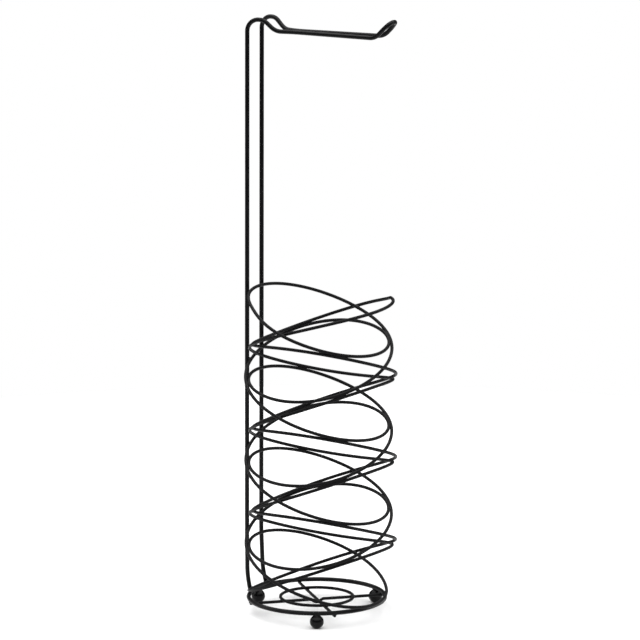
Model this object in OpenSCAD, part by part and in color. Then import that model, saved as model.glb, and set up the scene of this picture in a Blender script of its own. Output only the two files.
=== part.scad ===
// Free-standing toilet paper holder: a hairpin of heavy wire rises from a round base, arches over
// and comes back as a double arm for the roll in use. A basket of two swirling wire loops on the
// base holds spare rolls. The arm points along +X and Z = 0 is the floor.

/* [Stand wire] */
// Diameter of the wire of the stand and the base ring
stand_wire = 4.6; // [4:0.1:5.5]
// Height of the arches' centre line
arch_height = 619; // [560:1:680]
// Drop from the arches to the inner end of the arm
arch_drop = 11.2; // [8:0.2:16]
// Distance between the two posts
post_gap = 29.2; // [24:0.4:34]
// How far the posts lean outwards on their way down
post_lean = 2; // [0:0.5:5]
// Gap between the arm's two wires at its inner end
arm_gap_inner = 8.8; // [6:0.2:12]
// Gap between the arm's two wires at its outer end
arm_gap_outer = 17.8; // [15:0.2:20]
// Rise of the arm from its inner to its outer end
arm_rise = 1.6; // [0:0.2:6]
// Distance from the base ring's axis to the bend that ends the arm
arm_reach = 73.5; // [60:0.5:90]
// Length of the raised end loop
end_length = 23; // [23:0.5:35]
// Angle of the raised end loop above the arm
end_angle = 46; // [30:1:50]
// Width of the raised end loop between its wires' centre lines, at its widest
end_gap = 18.6; // [17:0.2:20]
// The same width at the corners of its tip
end_tip_gap = 12.6; // [12:0.2:14]

/* [Base] */
// Centre line radius of the base ring
base_ring_r = 71; // [66:1:80]
// Centre line radius of the small ring that the lowest roll stands on
inner_ring_r = 37.8; // [30:0.2:45]
// Diameter of the wire of the basket's floor
floor_wire = 3.2; // [2.6:0.1:3.6]
// Depth of the joggle where one floor wire passes under the other
joggle_depth = 3.2; // [2.8:0.1:3.6]
// Length of the joggle
joggle_length = 15; // [12:1:24]
// Diameter of the ball feet
ball_d = 14.5; // [12:0.5:17]
// Height of the flat that each ball foot stands on
ball_flat = 0.4; // [0.2:0.1:0.8]

/* [Basket] */
// Diameter of the basket's wire
basket_wire = 3.4; // [2.8:0.1:3.8]
// Centre line radius of the basket
basket_r = 74; // [73:0.5:78]
// Distance of the basket's axis from the base ring's axis, towards the arm's end
basket_offset = 5.4; // [2:0.2:6]
// Height that the basket's wires descend from
basket_top = 332.6; // [325:0.2:340]
// Drop of each wire in one turn
basket_pitch = 88; // [84:1:90]
// Rise and fall of each turn that comes from the tilt of its loop
basket_tilt = 20.4; // [18:0.2:21]
// Half turns that each loop makes on its way down
half_turns = 7; // [7:2:7]
// Wave that flattens each turn below the loops' tips
basket_ripple = 2.8; // [1:0.2:4]
// Lean of the anticlockwise turns, down on the right-hand side of the arm
turn_lean = 2.5; // [0:0.5:3]
// Sag of the front loop's first clockwise turn below the loop's tip
front_sag = 10; // [0:1:12]
// Shift of the rear loop's axis towards the loop's own tip
rear_shift = 1.2; // [0:0.1:1.4]
// How much weaker the wave is on the rear loop's anticlockwise way
rear_calm = 0.8; // [0:0.1:1]

/* [Hidden] */

$fn = 48;
wire_sides = 8;        // sides of a swept wire
stand_sides = 10;      // sides of the heavier stand wire
bend_step = 10;        // angle between the rings of a swept bend
steps_per_turn = 36;   // rings in one turn of the basket

coat = [0.10, 0.10, 0.11];   // black powder coat

ball_r = ball_d / 2;
ball_z = ball_r - ball_flat;
weld_sink = 0.8;                                // how far welded wires press into each other
base_ring_z = ball_z + ball_r + stand_wire / 2 - weld_sink;
floor_wire_z = base_ring_z - stand_wire / 2 - floor_wire / 2 + weld_sink;
floor_angle = 45;                               // floor wires and basket loops lie on the diagonals
floor_wire_reach = base_ring_r + 1;
foot_angles = [180, 60, -60];

post_r = basket_r + basket_wire + stand_wire / 2 + 0.8;
post_x = basket_offset - sqrt(pow(post_r, 2) - pow(post_gap / 2, 2));
foot_offset = 0.38 * stand_wire;                // the feet stand on the ring's outer shoulder
post_foot_y = post_gap / 2 + 2;
post_foot_x = -sqrt(pow(base_ring_r + foot_offset, 2) - pow(post_foot_y, 2));
post_foot_z = base_ring_z + sqrt(pow(stand_wire / 2, 2) - pow(foot_offset, 2)) - weld_sink;
post_bend_z = 75;                               // where the posts turn in towards the ring
post_knee_z = 33;                               // where they turn further in, to their feet
arm_z = arch_height - arch_drop;
arm_start_x = post_x + 30.5;                    // where the arches come down to the arm
arm_end_z = arm_z + arm_rise;
end_run = end_length * cos(end_angle);
end_rise = end_length * sin(end_angle);
end_widest = 0.55;                              // share of the end loop's length at its widest

basket_sweep = 180 * half_turns;                // angle that each loop turns through on its way down
tip_ease = 20;                                  // angle over which a loop's tip is rounded
tip_share = 1 - 4 * PI * basket_ripple / basket_pitch;
weave_press = 0.2;                              // how far crossing turns press into each other
weave_fade = 25;                                // angle over which the weave dies out at the tips
landing_fade = 80;                              // angle over which the last turn eases onto the ring
sag_angle = 62;                                 // angle from the tip at which the sag is deepest

// The origin is the middle of the footprint
footprint_mid = (arm_reach + end_run + stand_wire / 2 - base_ring_r - ball_r) / 2;

function unit(v) = v / norm(v);
function last(v) = v[len(v) - 1];

// Tangent at each point of a path
function tangents(p, closed) = [
    for (i = [0:len(p) - 1])
        let (n = len(p))
        let (before = closed ? p[(i + n - 1) % n] : p[max(i - 1, 0)])
        let (after = closed ? p[(i + 1) % n] : p[min(i + 1, n - 1)])
        unit(after - before)
];

// The part of v at right angles to t, at unit length
function square_to(v, t) = unit(v - (v * t) * t);

// Normals carried along a path without twist, from a first normal
function carried_normals(t, first) = [
    for (i = 0, n = square_to(first, t[0]); i < len(t);
         i = i + 1, n = i < len(t) ? square_to(n, t[i]) : n) n
];

// Solid wire of diameter d along the points p, with its cross-section set by the normals
module wire(p, normals, d, sides, closed = false) {
    n = len(p);
    t = tangents(p, closed);
    rings = [
        for (i = [0:n - 1])
            let (a = square_to(normals[i], t[i]))
            let (b = cross(t[i], a))
            for (k = [0:sides - 1])
                p[i] + d / 2 * (a * cos(360 * k / sides) + b * sin(360 * k / sides))
    ];
    sides_faces = [
        for (i = [0:closed ? n - 1 : n - 2])
            for (k = [0:sides - 1])
                let (j = (i + 1) % n)
                let (l = (k + 1) % sides)
                [i * sides + k, j * sides + k, j * sides + l, i * sides + l]
    ];
    caps = closed ? [] : [
        [for (k = [0:sides - 1]) k],
        [for (k = [sides - 1:-1:0]) (n - 1) * sides + k]
    ];
    polyhedron(points = rings, faces = concat(sides_faces, caps), convexity = 12);
}

// Arc that rounds the corner b of the path a, b, c with bend radius r
function bend(a, b, c, r) =
    let (u = unit(a - b), v = unit(c - b), half = acos(u * v) / 2, turn = 180 - 2 * half)
    let (centre = b + unit(u + v) * r / sin(half))
    let (start = unit(b + u * r / tan(half) - centre))
    let (steps = max(2, ceil(turn / bend_step)))
    [for (i = [0:steps]) centre + r * (start * cos(turn * i / steps) - u * sin(turn * i / steps))];

// Path through corners [x, y, z, bend radius], with its two ends left sharp
function bent_path(c) =
    let (p = [for (q = c) [q[0], q[1], q[2]]], n = len(c))
    concat([p[0]], [for (i = [1:n - 2]) each bend(p[i - 1], p[i], p[i + 1], c[i][3])], [last(p)]);

// Corners of one half of the hairpin, from its foot on the ring to the tip of the end loop
function half_hairpin(side) = [
    [post_foot_x, side * post_foot_y, post_foot_z, 0],
    [post_foot_x - 3.9, side * (post_gap / 2 + 1.1), post_knee_z, 80],
    [post_x - post_lean, side * post_gap / 2, post_bend_z, 200],
    [post_x, side * post_gap / 2, arch_height, 12.5],
    [post_x + 18, side * post_gap * 0.41, arch_height, 12],
    [arm_start_x, side * (arm_gap_inner / 2 + 5), arm_z, 16],
    [arm_start_x + 16, side * arm_gap_inner / 2, arm_z, 60],
    [arm_reach, side * arm_gap_outer / 2, arm_end_z, 16],
    [arm_reach + end_widest * end_run, side * end_gap / 2, arm_end_z + end_widest * end_rise, 18],
    [arm_reach + end_run, side * end_tip_gap / 2, arm_end_z + end_rise, 7.5]
];

function hairpin_path() =
    let (left = half_hairpin(1), right = half_hairpin(-1))
    bent_path(concat(left, [for (i = [len(right) - 1:-1:0]) right[i]]));

module stand_wire_hairpin() {
    p = hairpin_path();
    color(coat) wire(p, carried_normals(tangents(p, false), [1, 0, 0]), stand_wire, stand_sides);
}

module ring(r, z, d) {
    translate([0, 0, z]) rotate_extrude() translate([r, 0]) circle(d = d);
}

module base_ring() {
    color(coat) ring(base_ring_r, base_ring_z, stand_wire);
}

module inner_ring() {
    color(coat) ring(inner_ring_r, floor_wire_z + floor_wire - weld_sink / 2, floor_wire);
}

module cross_wire_straight() {
    color(coat) translate([0, 0, floor_wire_z]) rotate([0, 90, -floor_angle])
        cylinder(h = 2 * floor_wire_reach, d = floor_wire, center = true);
}

// Height of the joggled wire at a distance s from its middle
function joggle(s) =
    abs(s) < joggle_length / 2 ? -joggle_depth * (1 + cos(360 * s / joggle_length)) / 2 : 0;

module cross_wire_joggled() {
    half = joggle_length / 2;
    stations = concat([-floor_wire_reach], [for (i = [-8:8]) half * i / 8], [floor_wire_reach]);
    p = [for (s = stations) [s, 0, joggle(s)]];
    color(coat) translate([0, 0, floor_wire_z]) rotate(floor_angle)
        wire(p, [for (q = p) [0, 0, 1]], floor_wire, wire_sides + 4);
}

// Each loop: angle of its top tip, sag, shift of its axis, calm, and the radius at which it lands on
// the ring and its extra drop there. The front loop lands at the rear, inside the posts' feet.
rear_loop = [180 + floor_angle, 0, rear_shift, rear_calm, base_ring_r + 1.5, 1.6];
front_loop = [floor_angle, front_sag, 0, 0, base_ring_r - 0.5, 0];

// Point of a basket loop at angle a from its top tip, positive anticlockwise, negative clockwise.
// Both ways round the wire falls by the pitch in each turn, and the tilt lifts one side.
// The anticlockwise way weaves outside the other near the tip's side and inside it opposite.
function basket_point(loop, a) =
    let (way = abs(a), rest = basket_sweep - way)
    let (fall = way + tip_share * tip_ease * (exp(-way / tip_ease) - exp(-rest / tip_ease)))
    let (fade = (1 - exp(-pow(way / weave_fade, 2))) * (1 - exp(-pow(rest / weave_fade, 2))))
    let (weave = a > 0 ? (basket_wire - weave_press) * cos(way) * fade : 0)
    let (r = basket_r + weave, angle = loop[0] + a)
    let (lean = a > 0 ? turn_lean * sin(angle) * fade : 0)
    let (near = way / sag_angle, dip = a < 0 ? loop[1] * near * exp((1 - near * near) / 2) : 0)
    let (x = basket_offset + r * cos(angle) + loop[2] * cos(loop[0]))
    let (y = r * sin(angle) + loop[2] * sin(loop[0]))
    let (landing = exp(-pow(rest / landing_fade, 2)), s = 1 + landing * (loop[4] / norm([x, y]) - 1))
    let (ripple = basket_ripple - (a > 0 ? loop[3] * fade : 0))
    let (wave = ripple * sin(2 * way) - basket_tilt * sin(a) + lean)
    [s * x, s * y, basket_top - basket_pitch * fall / 360 + wave - dip - landing * loop[5]];

module basket_loop(loop) {
    n = half_turns * steps_per_turn;
    angles = [for (i = [0:n - 1]) basket_sweep * (2 * i / n - 1)];
    p = [for (a = angles) basket_point(loop, a)];
    color(coat) wire(p, [for (q = p) [q[0] - basket_offset, q[1], 0]], basket_wire, wire_sides, true);
}

module basket_loop_rear() {
    basket_loop(rear_loop);
}

module basket_loop_front() {
    basket_loop(front_loop);
}

// Ball foot welded under the ring, standing on a small flat
module ball_foot(angle) {
    color(coat) rotate(angle) translate([base_ring_r, 0, 0]) intersection() {
        translate([0, 0, ball_z]) sphere(d = ball_d);
        translate([-ball_d, -ball_d, 0]) cube(2 * ball_d);
    }
}

module ball_foot_rear() {
    ball_foot(foot_angles[0]);
}

module ball_foot_left() {
    ball_foot(foot_angles[1]);
}

module ball_foot_right() {
    ball_foot(foot_angles[2]);
}

translate([-footprint_mid, 0, 0]) {
    stand_wire_hairpin();
    base_ring();
    inner_ring();
    cross_wire_straight();
    cross_wire_joggled();
    basket_loop_rear();
    basket_loop_front();
    ball_foot_rear();
    ball_foot_left();
    ball_foot_right();
}
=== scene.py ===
"""Looks of a free-standing wire toilet paper holder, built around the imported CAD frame.

Lengths are in metres. MM turns a length in millimetres into metres.
"""

import math

import bmesh
import bpy
import numpy as np
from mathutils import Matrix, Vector, noise


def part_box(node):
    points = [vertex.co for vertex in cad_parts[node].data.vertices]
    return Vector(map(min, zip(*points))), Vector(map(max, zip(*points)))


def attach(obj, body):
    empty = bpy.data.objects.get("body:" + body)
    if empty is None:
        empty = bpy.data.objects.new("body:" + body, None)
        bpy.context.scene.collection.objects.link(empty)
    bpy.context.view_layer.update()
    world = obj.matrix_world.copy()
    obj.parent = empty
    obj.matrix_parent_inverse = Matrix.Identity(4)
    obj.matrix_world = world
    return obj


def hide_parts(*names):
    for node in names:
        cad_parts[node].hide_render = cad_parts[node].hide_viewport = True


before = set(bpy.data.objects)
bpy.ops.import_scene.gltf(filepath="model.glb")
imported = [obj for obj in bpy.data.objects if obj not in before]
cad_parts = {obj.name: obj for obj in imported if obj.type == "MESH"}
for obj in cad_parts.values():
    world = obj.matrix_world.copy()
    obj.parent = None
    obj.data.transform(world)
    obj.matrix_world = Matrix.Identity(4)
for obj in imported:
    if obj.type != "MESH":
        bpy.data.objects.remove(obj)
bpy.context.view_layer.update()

MM = 0.001
ROOT = "root"

# ---------------------------------------------------------------- places taken from the frame


def middle(node):
    """Middle of a CAD node's box."""
    low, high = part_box(node)
    return (low + high) / 2


def ring_size(node):
    """(centre, centre line radius, wire diameter) of a ring that lies flat."""
    low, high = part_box(node)
    wire = high.z - low.z
    return (low + high) / 2, (high.x - low.x - wire) / 2, wire


BASE, BASE_R, STAND_WIRE = ring_size("base_ring")
INNER, INNER_R, FLOOR_WIRE = ring_size("inner_ring")
AXIS = Vector((BASE.x, BASE.y, 0))          # the base ring's axis, on the floor
BALLS = ("ball_foot_rear", "ball_foot_left", "ball_foot_right")
FLOOR_WIRE_Z = middle("cross_wire_straight").z

# ---------------------------------------------------------------- driving dimensions

POST_GAP = 29.2 * MM
POST_LEAN = 2 * MM
POST_R = 80.5 * MM            # distance of the posts from the basket's axis
POST_FOOT_Y = POST_GAP / 2 + 2 * MM
POST_BEND_Z = 75 * MM
POST_KNEE_Z = 33 * MM
FOOT_OFFSET = 0.38 * STAND_WIRE             # the feet stand on the ring's outer shoulder
ARCH_HEIGHT = 619 * MM
ARM_Z = ARCH_HEIGHT - 11.2 * MM
ARM_GAP_INNER = 8.8 * MM
ARM_GAP_OUTER = 17.8 * MM
ARM_RISE = 1.6 * MM
ARM_REACH = 73.5 * MM
END_LENGTH = 23 * MM
END_ANGLE = math.radians(46)
END_GAP = 18.6 * MM
END_TIP_GAP = 12.6 * MM
END_WIDEST = 0.55             # share of the end loop's length at its widest

WELD_SINK = 0.8 * MM          # how far welded wires press into each other
JOGGLE_DEPTH = 3.2 * MM
JOGGLE_LENGTH = 15 * MM
FLOOR_ANGLE = math.radians(45)

BASKET_WIRE = 3.4 * MM
BASKET_R = 74 * MM
BASKET_OFFSET = 5.4 * MM
BASKET_TOP = 332.6 * MM
BASKET_PITCH = 88 * MM
BASKET_TILT = 20.4 * MM
BASKET_RIPPLE = 2.8 * MM
TURN_LEAN = 2.5 * MM
FRONT_SAG = 10 * MM
WEAVE = BASKET_WIRE - 0.2 * MM
HALF_TURNS = 7
TIP_EASE = 20
WEAVE_FADE = 25
LANDING_FADE = 80
SAG_ANGLE = 62
STEPS_PER_TURN = 144

# Each loop: angle of its top tip, sag, shift of its axis towards the tip, how much weaker the wave is
# on its anticlockwise way, and the radius at which it lands on the ring and its extra drop there
REAR_LOOP = (225, 0, 1.2 * MM, 0.8 * MM, BASE_R + 1.5 * MM, 1.6 * MM)
FRONT_LOOP = (45, FRONT_SAG, 0, 0, BASE_R - 0.5 * MM, 0)

# ---------------------------------------------------------------- paths of the wires


def bend(a, b, c, radius, step=3):
    """Arc that rounds the corner b of the path a, b, c, with a point every few degrees."""
    u, v = (a - b).normalized(), (c - b).normalized()
    half = math.acos(u.dot(v)) / 2
    turn = math.pi - 2 * half
    centre = b + (u + v).normalized() * radius / math.sin(half)
    start = (b + u * radius / math.tan(half) - centre).normalized()
    steps = max(4, math.ceil(math.degrees(turn) / step))
    angles = [turn * i / steps for i in range(steps + 1)]
    return [centre + radius * (start * math.cos(t) - u * math.sin(t)) for t in angles]


def bent_path(corners):
    """Path through (point, bend radius) corners, with its two ends left sharp."""
    points = [corners[0][0]]
    for i in range(1, len(corners) - 1):
        points += bend(corners[i - 1][0], corners[i][0], corners[i + 1][0], corners[i][1])
    return points + [corners[-1][0]]


def half_hairpin(side):
    """Corners of one half of the stand's wire, from its foot on the ring to the tip of its end loop."""
    post_x = BASKET_OFFSET - math.sqrt(POST_R ** 2 - (POST_GAP / 2) ** 2)
    foot_x = -math.sqrt((BASE_R + FOOT_OFFSET) ** 2 - POST_FOOT_Y ** 2)
    foot_z = BASE.z + math.sqrt((STAND_WIRE / 2) ** 2 - FOOT_OFFSET ** 2) - WELD_SINK
    arm_start = post_x + 30.5 * MM
    arm_end_z = ARM_Z + ARM_RISE
    run = END_LENGTH * math.cos(END_ANGLE)
    rise = END_LENGTH * math.sin(END_ANGLE)
    places = [
        (foot_x, POST_FOOT_Y, foot_z, 0),
        (foot_x - 3.9 * MM, POST_GAP / 2 + 1.1 * MM, POST_KNEE_Z, 80 * MM),
        (post_x - POST_LEAN, POST_GAP / 2, POST_BEND_Z, 200 * MM),
        (post_x, POST_GAP / 2, ARCH_HEIGHT, 12.5 * MM),
        (post_x + 18 * MM, POST_GAP * 0.41, ARCH_HEIGHT, 12 * MM),
        (arm_start, ARM_GAP_INNER / 2 + 5 * MM, ARM_Z, 16 * MM),
        (arm_start + 16 * MM, ARM_GAP_INNER / 2, ARM_Z, 60 * MM),
        (ARM_REACH, ARM_GAP_OUTER / 2, arm_end_z, 16 * MM),
        (ARM_REACH + END_WIDEST * run, END_GAP / 2, arm_end_z + END_WIDEST * rise, 18 * MM),
        (ARM_REACH + run, END_TIP_GAP / 2, arm_end_z + rise, 7.5 * MM),
    ]
    return [(AXIS + Vector((x, side * y, z)), radius) for x, y, z, radius in places]


def hairpin_path():
    """The whole stand wire, from the left foot over the end loop to the right foot."""
    return bent_path(half_hairpin(1) + half_hairpin(-1)[::-1])


def ring_path(centre, radius, steps):
    """Points of a level circle."""
    angles = [2 * math.pi * i / steps for i in range(steps)]
    return [centre + radius * Vector((math.cos(t), math.sin(t), 0)) for t in angles]


def floor_wire_path(angle, joggled):
    """A wire of the basket's floor, straight or with a joggle that dips under the other one."""
    reach = BASE_R + 1 * MM
    along = Vector((math.cos(angle), math.sin(angle), 0))
    half = JOGGLE_LENGTH / 2
    places = [-reach, reach]
    if joggled:
        places = [-reach] + [half * i / 24 for i in range(-24, 25)] + [reach]
    points = []
    for s in places:
        dip = 0
        if joggled and abs(s) < half:
            dip = JOGGLE_DEPTH * (1 + math.cos(2 * math.pi * s / JOGGLE_LENGTH)) / 2
        points.append(AXIS + along * s + Vector((0, 0, FLOOR_WIRE_Z - dip)))
    return points


def basket_point(loop, a):
    """Point of a basket loop at a degrees from its top tip, positive anticlockwise."""
    tip, sag, shift, calm, landing_r, landing_drop = loop
    way = abs(a)
    rest = 180 * HALF_TURNS - way
    tip_share = 1 - 4 * math.pi * BASKET_RIPPLE / BASKET_PITCH
    fall = way + tip_share * TIP_EASE * (math.exp(-way / TIP_EASE) - math.exp(-rest / TIP_EASE))
    fade = (1 - math.exp(-((way / WEAVE_FADE) ** 2))) * (1 - math.exp(-((rest / WEAVE_FADE) ** 2)))
    angle = math.radians(tip + a)
    weave = WEAVE * math.cos(math.radians(way)) * fade if a > 0 else 0
    lean = TURN_LEAN * math.sin(angle) * fade if a > 0 else 0
    near = way / SAG_ANGLE
    dip = sag * near * math.exp((1 - near * near) / 2) if a < 0 else 0
    x = BASKET_OFFSET + (BASKET_R + weave) * math.cos(angle) + shift * math.cos(math.radians(tip))
    y = (BASKET_R + weave) * math.sin(angle) + shift * math.sin(math.radians(tip))
    landing = math.exp(-((rest / LANDING_FADE) ** 2))
    s = 1 + landing * (landing_r / math.hypot(x, y) - 1)
    ripple = BASKET_RIPPLE - (calm * fade if a > 0 else 0)
    wave = ripple * math.sin(math.radians(2 * way)) - BASKET_TILT * math.sin(math.radians(a)) + lean
    z = BASKET_TOP - BASKET_PITCH * fall / 360 + wave - dip - landing * landing_drop
    return AXIS + Vector((s * x, s * y, z))


def basket_path(loop):
    """Points of a whole basket loop, from its bottom tip up to the top one and down again."""
    count = HALF_TURNS * STEPS_PER_TURN
    sweep_angle = 180 * HALF_TURNS
    return [basket_point(loop, sweep_angle * (2 * i / count - 1)) for i in range(count)]


# ---------------------------------------------------------------- meshes

STAND_SIDES, FLOOR_SIDES, BASKET_SIDES = 28, 24, 20      # sides of each wire's section
BALL_SIDES, BALL_ROWS = 56, 40
CUT_EDGE = 0.5 * MM           # rounding of a wire's cut end


def mesh_object(name, vertices, faces, material):
    """A smooth-shaded object with outward normals."""
    mesh = bpy.data.meshes.new(name)
    mesh.from_pydata(vertices, [], faces)
    mesh.validate()
    bm = bmesh.new()
    bm.from_mesh(mesh)
    bmesh.ops.recalc_face_normals(bm, faces=bm.faces)
    bm.to_mesh(mesh)
    bm.free()
    mesh.polygons.foreach_set("use_smooth", [True] * len(mesh.polygons))
    mesh.materials.append(material)
    piece = bpy.data.objects.new(name, mesh)
    bpy.context.scene.collection.objects.link(piece)
    return piece


def tangents(points, closed):
    """Direction of a path at each of its points."""
    count = len(points)
    if closed:
        return [(points[(i + 1) % count] - points[i - 1]).normalized() for i in range(count)]
    return [(points[min(i + 1, count - 1)] - points[max(i - 1, 0)]).normalized() for i in range(count)]


def tube(points, diameter, sides, closed=False, reference=None, seams=()):
    """Vertices and faces of a round wire. reference(i) gives a direction that fixes the section's turn.

    seams holds (index, swelling, spread) for butt welds, where the wire is slightly thicker.
    """
    count = len(points)
    along = tangents(points, closed)
    normal = reference(0) if reference else along[0].orthogonal()
    vertices, faces = [], []
    for i in range(count):
        wanted = reference(i) if reference else normal
        normal = (wanted - wanted.dot(along[i]) * along[i]).normalized()
        side = along[i].cross(normal)
        radius = diameter / 2
        for at, swelling, spread in seams:
            radius += swelling * math.exp(-(((points[i] - points[at]).length / spread) ** 2))
        for k in range(sides):
            t = 2 * math.pi * k / sides
            vertices.append(points[i] + radius * (normal * math.cos(t) + side * math.sin(t)))
    for i in range(count if closed else count - 1):
        j = (i + 1) % count
        for k in range(sides):
            m = (k + 1) % sides
            faces.append((i * sides + k, j * sides + k, j * sides + m, i * sides + m))
    if not closed:
        faces.append(tuple(range(sides)))
        faces.append(tuple((count - 1) * sides + k for k in range(sides)))
    return vertices, faces


def rounded_ends(points, diameter, edge):
    """Adds the points of two cut ends, and gives the radius of the wire at each point."""
    first = (points[0] - points[1]).normalized()
    last = (points[-1] - points[-2]).normalized()
    radius = diameter / 2
    arc = [(edge * (1 - math.sin(t)), edge * (1 - math.cos(t))) for t in map(math.radians, (0, 30, 60, 85))]
    head = [(points[0] - first * inset, radius - drop) for inset, drop in arc]
    tail = [(points[-1] - last * inset, radius - drop) for inset, drop in arc]
    body = [(p, radius) for p in points[1:-1]]
    return head[::-1] + body + tail


def cut_wire(name, points, diameter, sides, edge, material):
    """A straight-ended wire whose cut ends have a small rounded edge under the coat."""
    stations = rounded_ends(points, diameter, edge)
    centres = [p for p, _ in stations]
    vertices, faces = tube(centres, diameter, sides, reference=lambda i: Vector((0, 0, 1)))
    for i, (centre, radius) in enumerate(stations):
        for k in range(sides):
            v = vertices[i * sides + k]
            vertices[i * sides + k] = centre + (v - centre) * (radius / (diameter / 2))
    return mesh_object(name, vertices, faces, material)


def ball_foot(name, node, material):
    """A turned ball with a small flat to stand on, and a rounded edge round the flat."""
    low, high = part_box(node)
    radius = (high.x - low.x) / 2
    centre = Vector(((low.x + high.x) / 2, (low.y + high.y) / 2, high.z - radius))
    flat_r = math.sqrt(radius ** 2 - (centre.z - low.z) ** 2)
    profile = [(0, low.z), (flat_r * 0.8, low.z), (flat_r * 1.02, low.z + 0.04 * MM)]
    start = math.degrees(math.asin(flat_r / radius)) + 3
    profile += [
        (radius * math.sin(math.radians(t)), centre.z - radius * math.cos(math.radians(t)))
        for t in np.linspace(start, 180, BALL_ROWS)
    ]
    profile[-1] = (0, profile[-1][1])
    return lathe(name, profile, Vector((centre.x, centre.y, 0)), BALL_SIDES, material)


def lathe(name, profile, centre, sides, material):
    """Turns a profile of (radius, z) points, which starts and ends on the axis."""
    vertices = [centre + Vector((0, 0, profile[0][1]))]
    for radius, z in profile[1:-1]:
        for k in range(sides):
            t = 2 * math.pi * k / sides
            vertices.append(centre + Vector((radius * math.cos(t), radius * math.sin(t), z)))
    vertices.append(centre + Vector((0, 0, profile[-1][1])))
    top = len(vertices) - 1
    faces = []
    rows = len(profile) - 2
    for k in range(sides):
        m = (k + 1) % sides
        faces.append((0, 1 + m, 1 + k))
        faces.append((top, 1 + (rows - 1) * sides + k, 1 + (rows - 1) * sides + m))
        for row in range(rows - 1):
            a = 1 + row * sides
            faces.append((a + k, a + m, a + sides + m, a + sides + k))
    return mesh_object(name, vertices, faces, material)


# ---------------------------------------------------------------- welds

FAR_APART = 1.0               # a gap, in metres, that is never a meeting
BEAD_LUMP = 0.1               # unevenness of a bead, as a share of its size
BEAD_LUMP_SCALE = 1.3         # fineness of that unevenness
BEAD_LUMP_SPREAD = 400        # makes beads at different places differ
BEAD_LONGEST = 3              # in radii, where the wires run side by side


def neighbours(index, count, closed):
    """The two indices on each side of one along a path, and the index itself."""
    wanted = range(index - 2, index + 3)
    return [i % count if closed else min(max(i, 0), count - 1) for i in wanted]


def meetings(first, second, reach, closed_first, closed_second, skip=0):
    """Places where two paths come closer than reach, as (point, point, direction, direction).

    skip is the number of steps along a path that don't count as meeting itself.
    """
    a, b = np.array(first), np.array(second)
    gap = np.linalg.norm(a[:, None] - b[None], axis=2)
    if skip:
        apart = np.abs(np.arange(len(a))[:, None] - np.arange(len(b))[None])
        apart = np.minimum(apart, len(a) - apart)
        gap[apart < skip] = FAR_APART
    along_a, along_b = tangents(first, closed_first), tangents(second, closed_second)
    found = []
    for i, j in zip(*np.where(gap < reach)):
        rows = neighbours(i, len(a), closed_first)
        columns = neighbours(j, len(b), closed_second)
        if gap[i, j] <= gap[np.ix_(rows, columns)].min() and (not skip or i < j):
            found.append((first[i], second[j], along_a[i], along_b[j]))
    return found


def bead(place, long_way, normal, size):
    """Vertices and faces of one weld bead: a lump with half sizes (along, across, through)."""
    bm = bmesh.new()
    bmesh.ops.create_icosphere(bm, subdivisions=3, radius=1)
    long_way = (long_way - long_way.dot(normal) * normal).normalized()
    across = normal.cross(long_way)
    vertices = []
    for v in bm.verts:
        lump = 1 + BEAD_LUMP * noise.noise(v.co * BEAD_LUMP_SCALE + place * BEAD_LUMP_SPREAD)
        local = v.co * lump
        level = place + long_way * local.x * size[0] + across * local.y * size[1]
        vertices.append(level + normal * local.z * size[2])
    bm.verts.index_update()
    faces = [tuple(v.index for v in f.verts) for f in bm.faces]
    bm.free()
    return vertices, faces


def crossing_bead(meeting, radius_a, radius_b):
    """The bead that fills the notches where two round wires touch.

    The more the wires run side by side, the longer it is.
    """
    p, q, u, v = meeting
    normal = (q - p).normalized()
    if u.dot(v) < 0:
        v = -v
    radius = (radius_a + radius_b) / 2
    long_way = u + v
    half_angle = math.atan2((u - v).length, long_way.length)
    length = min(radius * 0.85 / max(math.sin(half_angle), 0.2), radius * BEAD_LONGEST)
    middle_point = p + normal * radius_a * (q - p).length / (radius_a + radius_b)
    return bead(middle_point, long_way, normal, (max(length, radius), radius * 0.8, radius * 0.95))


def joined(parts):
    """One list of vertices and one of faces from several."""
    vertices, faces = [], []
    for part_vertices, part_faces in parts:
        start = len(vertices)
        vertices += part_vertices
        faces += [tuple(start + index for index in face) for face in part_faces]
    return vertices, faces


# ---------------------------------------------------------------- materials

MOTTLE_SCALE = 90.0           # fineness of the uneven gloss and colour
PEEL_SCALE = 620.0            # of the orange peel, about 1.6 mm from wave to wave
GRAIN_SCALE = 2600.0          # of the powder's grain and the dust
DUST_COLOUR = (0.22, 0.215, 0.205, 1)
POLISH = 0.16                 # how much the rubbed stretch of the arm loses in roughness


def node_maker(owner):
    """A function that adds a node to a material or world, with its inputs set or linked."""
    nodes, links = owner.node_tree.nodes, owner.node_tree.links

    def make(kind, inputs=None, **settings):
        made = nodes.new(kind)
        for key, value in settings.items():
            setattr(made, key, value)
        for key, value in (inputs or {}).items():
            if isinstance(value, bpy.types.NodeSocket):
                links.new(value, made.inputs[key])
            else:
                made.inputs[key].default_value = value
        return made

    return make


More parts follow.
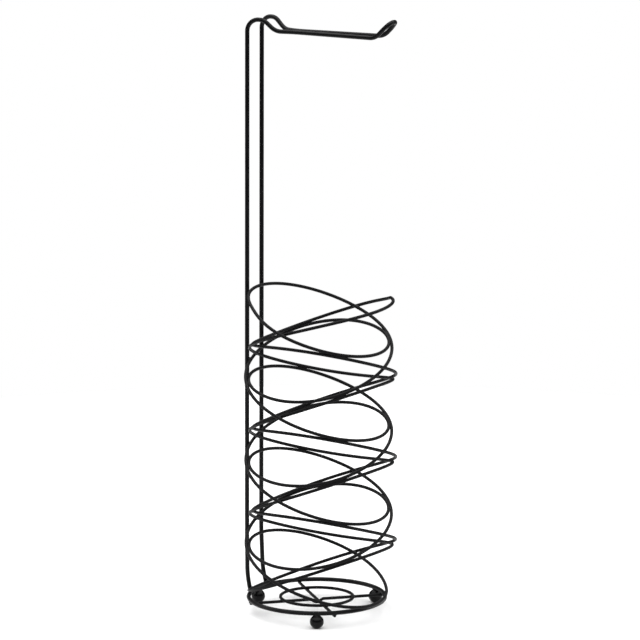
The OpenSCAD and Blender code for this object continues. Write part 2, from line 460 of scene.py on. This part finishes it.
def powder_coat(name, colour, roughness, peel, dust, specular, polish_above=None):
    """Black coat with fine mottling, orange peel, dust on what faces up, and a rubbed stretch on the arm.

    roughness is (low, high), peel is the height of the orange peel, dust is its share of the colour, and
    polish_above is the height above which the paper's core has rubbed the coat smoother.
    """
    material = bpy.data.materials.new(name)
    material.use_nodes = True
    material.diffuse_color = (*colour, 1)
    make = node_maker(material)
    shader = material.node_tree.nodes["Principled BSDF"]
    shader.inputs["Metallic"].default_value = 0.0
    shader.inputs["Specular IOR Level"].default_value = specular
    place = make("ShaderNodeTexCoord").outputs["Object"]
    normal = make("ShaderNodeNewGeometry").outputs["Normal"]
    up = make("ShaderNodeSeparateXYZ", {0: normal}).outputs["Z"]
    cloud = make("ShaderNodeTexNoise", {"Vector": place, "Scale": MOTTLE_SCALE, "Detail": 4.0}).outputs["Fac"]
    grain = make("ShaderNodeTexNoise", {"Vector": place, "Scale": GRAIN_SCALE, "Detail": 2.0}).outputs["Fac"]
    waves = make("ShaderNodeTexNoise", {"Vector": place, "Scale": PEEL_SCALE, "Detail": 1.5}).outputs["Fac"]

    # colour: slightly uneven black, with a trace of grey dust on top
    dark = tuple(c * 0.7 for c in colour)
    light = tuple(c * 1.35 for c in colour)
    mottle = make("ShaderNodeValToRGB", {"Fac": cloud})
    mottle.color_ramp.elements[0].position = 0.35
    mottle.color_ramp.elements[0].color = (*dark, 1)
    mottle.color_ramp.elements[1].position = 0.68
    mottle.color_ramp.elements[1].color = (*light, 1)
    facing_up = make("ShaderNodeMapRange", {"Value": up, "From Min": 0.25, "From Max": 1.0, "To Max": dust})
    speck = make("ShaderNodeMapRange", {"Value": grain, "From Min": 0.42, "From Max": 0.62})
    amount = make("ShaderNodeMath", {0: facing_up.outputs[0], 1: speck.outputs[0]}, operation="MULTIPLY")
    colours = {"Factor": amount.outputs[0], "A": mottle.outputs["Color"]}
    tint = make("ShaderNodeMix", colours, data_type="RGBA")
    tint.inputs["B"].default_value = DUST_COLOUR
    material.node_tree.links.new(tint.outputs["Result"], shader.inputs["Base Color"])

    # roughness: uneven gloss, smoother where the core of the roll rubs the arm
    gloss = make(
        "ShaderNodeMapRange",
        {"Value": cloud, "From Min": 0.3, "From Max": 0.7, "To Min": roughness[0], "To Max": roughness[1]},
    ).outputs[0]
    if polish_above:
        height = make("ShaderNodeSeparateXYZ", {0: place}).outputs["Z"]
        stretch = {"Value": height, "From Min": polish_above, "From Max": polish_above + 2 * MM}
        high = make("ShaderNodeMapRange", stretch)
        on_top = make("ShaderNodeMapRange", {"Value": up, "From Min": 0.45, "From Max": 0.95})
        rubbed = make("ShaderNodeMath", {0: high.outputs[0], 1: on_top.outputs[0]}, operation="MULTIPLY")
        streak = make("ShaderNodeMath", {0: rubbed.outputs[0], 1: POLISH}, operation="MULTIPLY")
        gloss = make("ShaderNodeMath", {0: gloss, 1: streak.outputs[0]}, operation="SUBTRACT").outputs[0]
    material.node_tree.links.new(gloss, shader.inputs["Roughness"])

    # relief: orange peel, and the finer grain of the powder on it
    relief = make("ShaderNodeBump", {"Strength": 1.0, "Distance": peel, "Height": waves})
    fine = make("ShaderNodeBump", {"Strength": 1.0, "Distance": peel * 0.15, "Height": grain})
    material.node_tree.links.new(relief.outputs["Normal"], fine.inputs["Normal"])
    material.node_tree.links.new(fine.outputs["Normal"], shader.inputs["Normal"])
    return material


stand_coat = powder_coat(
    "stand_coat", (0.004, 0.004, 0.0045), (0.3, 0.4), 0.006 * MM, 0.06, 0.14, polish_above=ARM_Z - 6 * MM
)
basket_coat = powder_coat("basket_coat", (0.0035, 0.0035, 0.004), (0.48, 0.58), 0.006 * MM, 0.05, 0.11)
ball_coat = powder_coat("ball_coat", (0.0025, 0.0025, 0.003), (0.2, 0.28), 0.005 * MM, 0.03, 0.14)

# ---------------------------------------------------------------- the stand


def finish_piece(piece, slot, *nodes):
    """Gives a piece its body, and hides the CAD nodes that it stands for. slot is not used."""
    if nodes:
        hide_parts(*nodes)
    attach(piece, ROOT)


hairpin = hairpin_path()
vertices, faces = tube(hairpin, STAND_WIRE, STAND_SIDES)
hairpin_wire = mesh_object("stand_hairpin_wire", vertices, faces, stand_coat)
finish_piece(hairpin_wire, "stand_coat", "stand_wire_hairpin")

base_ring = ring_path(BASE, BASE_R, 240)
seam_at_back = 128
vertices, faces = tube(
    base_ring, STAND_WIRE, STAND_SIDES, closed=True,
    reference=lambda i: base_ring[i] - BASE, seams=[(seam_at_back, 0.12 * MM, 1.6 * MM)],
)
finish_piece(mesh_object("base_ring_wire", vertices, faces, stand_coat), "stand_coat", "base_ring")

inner_ring = ring_path(INNER, INNER_R, 160)
inner_seam_at_back = 90
vertices, faces = tube(
    inner_ring, FLOOR_WIRE, FLOOR_SIDES, closed=True,
    reference=lambda i: inner_ring[i] - INNER, seams=[(inner_seam_at_back, 0.1 * MM, 1.2 * MM)],
)
finish_piece(mesh_object("inner_ring_wire", vertices, faces, basket_coat), "basket_coat", "inner_ring")

# ---------------------------------------------------------------- the basket's floor

straight = floor_wire_path(-FLOOR_ANGLE, False)
joggled = floor_wire_path(FLOOR_ANGLE, True)
straight_wire = cut_wire("floor_wire_straight", straight, FLOOR_WIRE, FLOOR_SIDES, CUT_EDGE, basket_coat)
finish_piece(straight_wire, "basket_coat", "cross_wire_straight")
joggled_wire = cut_wire("floor_wire_joggled", joggled, FLOOR_WIRE, FLOOR_SIDES, CUT_EDGE, basket_coat)
finish_piece(joggled_wire, "basket_coat", "cross_wire_joggled")

# ---------------------------------------------------------------- the basket's loops

rear_loop = basket_path(REAR_LOOP)
front_loop = basket_path(FRONT_LOOP)
basket_axis = AXIS + Vector((BASKET_OFFSET, 0, 0))


def outwards(path):
    """For each point of a basket loop, the horizontal direction away from the basket's axis."""
    return lambda i: Vector((path[i].x - basket_axis.x, path[i].y - basket_axis.y, 0))


for name, node, path in (
    ("basket_wire_rear", "basket_loop_rear", rear_loop),
    ("basket_wire_front", "basket_loop_front", front_loop),
):
    seam = len(path) * 3 // 5
    vertices, faces = tube(
        path, BASKET_WIRE, BASKET_SIDES, closed=True,
        reference=outwards(path), seams=[(seam, 0.1 * MM, 1.3 * MM)],
    )
    finish_piece(mesh_object(name, vertices, faces, basket_coat), "basket_coat", node)

# ---------------------------------------------------------------- ball feet

for node in BALLS:
    finish_piece(ball_foot(node.replace("ball_foot", "ball"), node, ball_coat), "ball_coat", node)

# ---------------------------------------------------------------- weld beads


def dense(path, step=0.6 * MM):
    """The path with extra points, so that straight stretches can be searched for meetings."""
    points = []
    for a, b in zip(path, path[1:]):
        count = max(1, math.ceil((b - a).length / step))
        points += [a.lerp(b, i / count) for i in range(count)]
    return points + [path[-1]]


stand_r, floor_r, basket_wire_r = STAND_WIRE / 2, FLOOR_WIRE / 2, BASKET_WIRE / 2
TOUCH = 0.35 * MM             # wires closer than this are welded
UP = Vector((0, 0, 1))

POST_BEAD = (4.0 * MM, 3.0 * MM, 1.7 * MM)       # half sizes along the ring, across it and upwards
BALL_BEAD = (4.2 * MM, 2.9 * MM, 1.3 * MM)

stand_beads = []
for foot in (hairpin[0], hairpin[-1]):
    tangent = UP.cross(foot - BASE).normalized()
    stand_beads.append(bead(foot + 0.5 * MM * UP, tangent, UP, POST_BEAD))
for node in BALLS:
    low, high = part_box(node)
    top = Vector(((low.x + high.x) / 2, (low.y + high.y) / 2, high.z - 0.35 * MM))
    tangent = UP.cross(top - BASE).normalized()
    stand_beads.append(bead(top, tangent, UP, BALL_BEAD))
dense_ring = ring_path(BASE, BASE_R, 720)
for floor_wire in (straight, joggled):
    for meeting in meetings(dense(floor_wire), dense_ring, floor_r + stand_r + TOUCH, False, True):
        stand_beads.append(crossing_bead(meeting, floor_r, stand_r))
for path in (rear_loop, front_loop):
    for meeting in meetings(path, dense_ring, basket_wire_r + stand_r + TOUCH, True, True):
        stand_beads.append(crossing_bead(meeting, basket_wire_r, stand_r))
posts = [p for p in dense(hairpin) if p.z < BASKET_TOP + 20 * MM]
for path in (rear_loop, front_loop):
    for side in (1, -1):
        post = [p for p in posts if side * p.y > 0]
        for meeting in meetings(path, post, basket_wire_r + stand_r + TOUCH, True, False):
            stand_beads.append(crossing_bead(meeting, basket_wire_r, stand_r))
vertices, faces = joined(stand_beads)
finish_piece(mesh_object("weld_beads_stand", vertices, faces, stand_coat), "stand_coat")

basket_beads = []
dense_inner = ring_path(INNER, INNER_R, 480)
for floor_wire in (straight, joggled):
    for meeting in meetings(dense(floor_wire), dense_inner, 2 * floor_r + TOUCH, False, True):
        basket_beads.append(crossing_bead(meeting, floor_r, floor_r))
for meeting in meetings(dense(straight), dense(joggled), 2 * floor_r + TOUCH, False, False):
    basket_beads.append(crossing_bead(meeting, floor_r, floor_r))
for meeting in meetings(rear_loop, front_loop, 2 * basket_wire_r + TOUCH, True, True):
    basket_beads.append(crossing_bead(meeting, basket_wire_r, basket_wire_r))
for path in (rear_loop, front_loop):
    for meeting in meetings(path, path, 2 * basket_wire_r + TOUCH, True, True, skip=STEPS_PER_TURN // 8):
        basket_beads.append(crossing_bead(meeting, basket_wire_r, basket_wire_r))
print("weld beads:", len(stand_beads), "on the stand,", len(basket_beads), "on the basket")
vertices, faces = joined(basket_beads)
finish_piece(mesh_object("weld_beads_basket", vertices, faces, basket_coat), "basket_coat")

# ---------------------------------------------------------------- floor, lights, camera


def studio_floor():
    """A round pale floor, small enough that the posts mostly mirror the dim room beyond it."""
    size, sides = 1.1, 96
    material = bpy.data.materials.new("studio_floor")
    material.use_nodes = True
    make = node_maker(material)
    shader = material.node_tree.nodes["Principled BSDF"]
    shader.inputs["Roughness"].default_value = 0.9
    shader.inputs["Specular IOR Level"].default_value = 0.1
    place = make("ShaderNodeTexCoord").outputs["Object"]
    cloud = make("ShaderNodeTexNoise", {"Vector": place, "Scale": 3.0, "Detail": 3.0}).outputs["Fac"]
    ramp = make("ShaderNodeValToRGB", {"Fac": cloud})
    ramp.color_ramp.elements[0].color = (0.86, 0.86, 0.86, 1)
    ramp.color_ramp.elements[1].color = (0.885, 0.885, 0.885, 1)
    material.node_tree.links.new(ramp.outputs["Color"], shader.inputs["Base Color"])
    rim = ring_path(Vector((0, 0, 0)), size, sides)
    floor = mesh_object("studio_floor", rim, [tuple(range(sides))], material)


def soft_light(name, kind, place, target, energy, size=None, height=None, angle=None):
    """A light box (AREA) of the given size and height, or a wide sun of the given angle."""
    light = bpy.data.lights.new(name, kind)
    light.energy = energy
    if kind == "AREA":
        light.shape = "RECTANGLE"
        light.size = size
        light.size_y = height
    else:
        light.angle = angle
    lamp = bpy.data.objects.new(name, light)
    lamp.location = place
    lamp.rotation_euler = (target - place).to_track_quat("-Z", "Y").to_euler()
    bpy.context.scene.collection.objects.link(lamp)


def studio_world():
    """Plain surroundings: white where they are looked at, dim as a light."""
    world = bpy.data.worlds.new("studio")
    world.use_nodes = True
    bpy.context.scene.world = world
    make = node_maker(world)
    background = world.node_tree.nodes["Background"]
    path = make("ShaderNodeLightPath").outputs["Is Camera Ray"]
    strength = make("ShaderNodeMapRange", {"Value": path, "To Min": WORLD_LIGHT, "To Max": 1.0}).outputs[0]
    background.inputs["Color"].default_value = (1, 1, 1, 1)
    world.node_tree.links.new(strength, background.inputs["Strength"])


WORLD_LIGHT = 0.05            # the surroundings' strength as a light
SUN_STRENGTH = 4.9
SUN_SPREAD = math.radians(110)
BOX_POWER = 5                 # watts of each light box
BOX_DISTANCE = 1.5
VIEW = math.radians(30)       # the camera looks this far round from +Y towards -X
RIGHT = Vector((math.cos(VIEW), math.sin(VIEW), 0))
AWAY = Vector((-math.sin(VIEW), math.cos(VIEW), 0))
CAMERA_DISTANCE = 5.4259
CAMERA_HEIGHT = 1.4256
CAMERA_ASIDE = 3.3 * MM
CAMERA_PITCH = math.radians(11.625)
CAMERA_LENS = 302.2
SENSOR = 36.0

studio_floor()
studio_world()
centre = AXIS + Vector((0, 0, 0.32))
soft_light("top_light", "SUN", Vector((0, 0, 3)), Vector((0, 0, 0)), SUN_STRENGTH, angle=SUN_SPREAD)
for name, side in (("left_box", -1), ("right_box", 1)):
    place = centre + side * BOX_DISTANCE * RIGHT + 0.1 * AWAY
    soft_light(name, "AREA", place, centre, BOX_POWER, size=0.7, height=1.6)

camera_data = bpy.data.cameras.new("camera")
camera_data.sensor_width = SENSOR
camera_data.lens = CAMERA_LENS
camera_data.clip_end = 100
camera = bpy.data.objects.new("camera", camera_data)
camera.location = AXIS + RIGHT * CAMERA_ASIDE - AWAY * CAMERA_DISTANCE + Vector((0, 0, CAMERA_HEIGHT))
camera.rotation_euler = (math.pi / 2 - CAMERA_PITCH, 0, VIEW)
bpy.context.scene.collection.objects.link(camera)
bpy.context.scene.camera = camera
bpy.context.scene.view_settings.view_transform = "Standard"
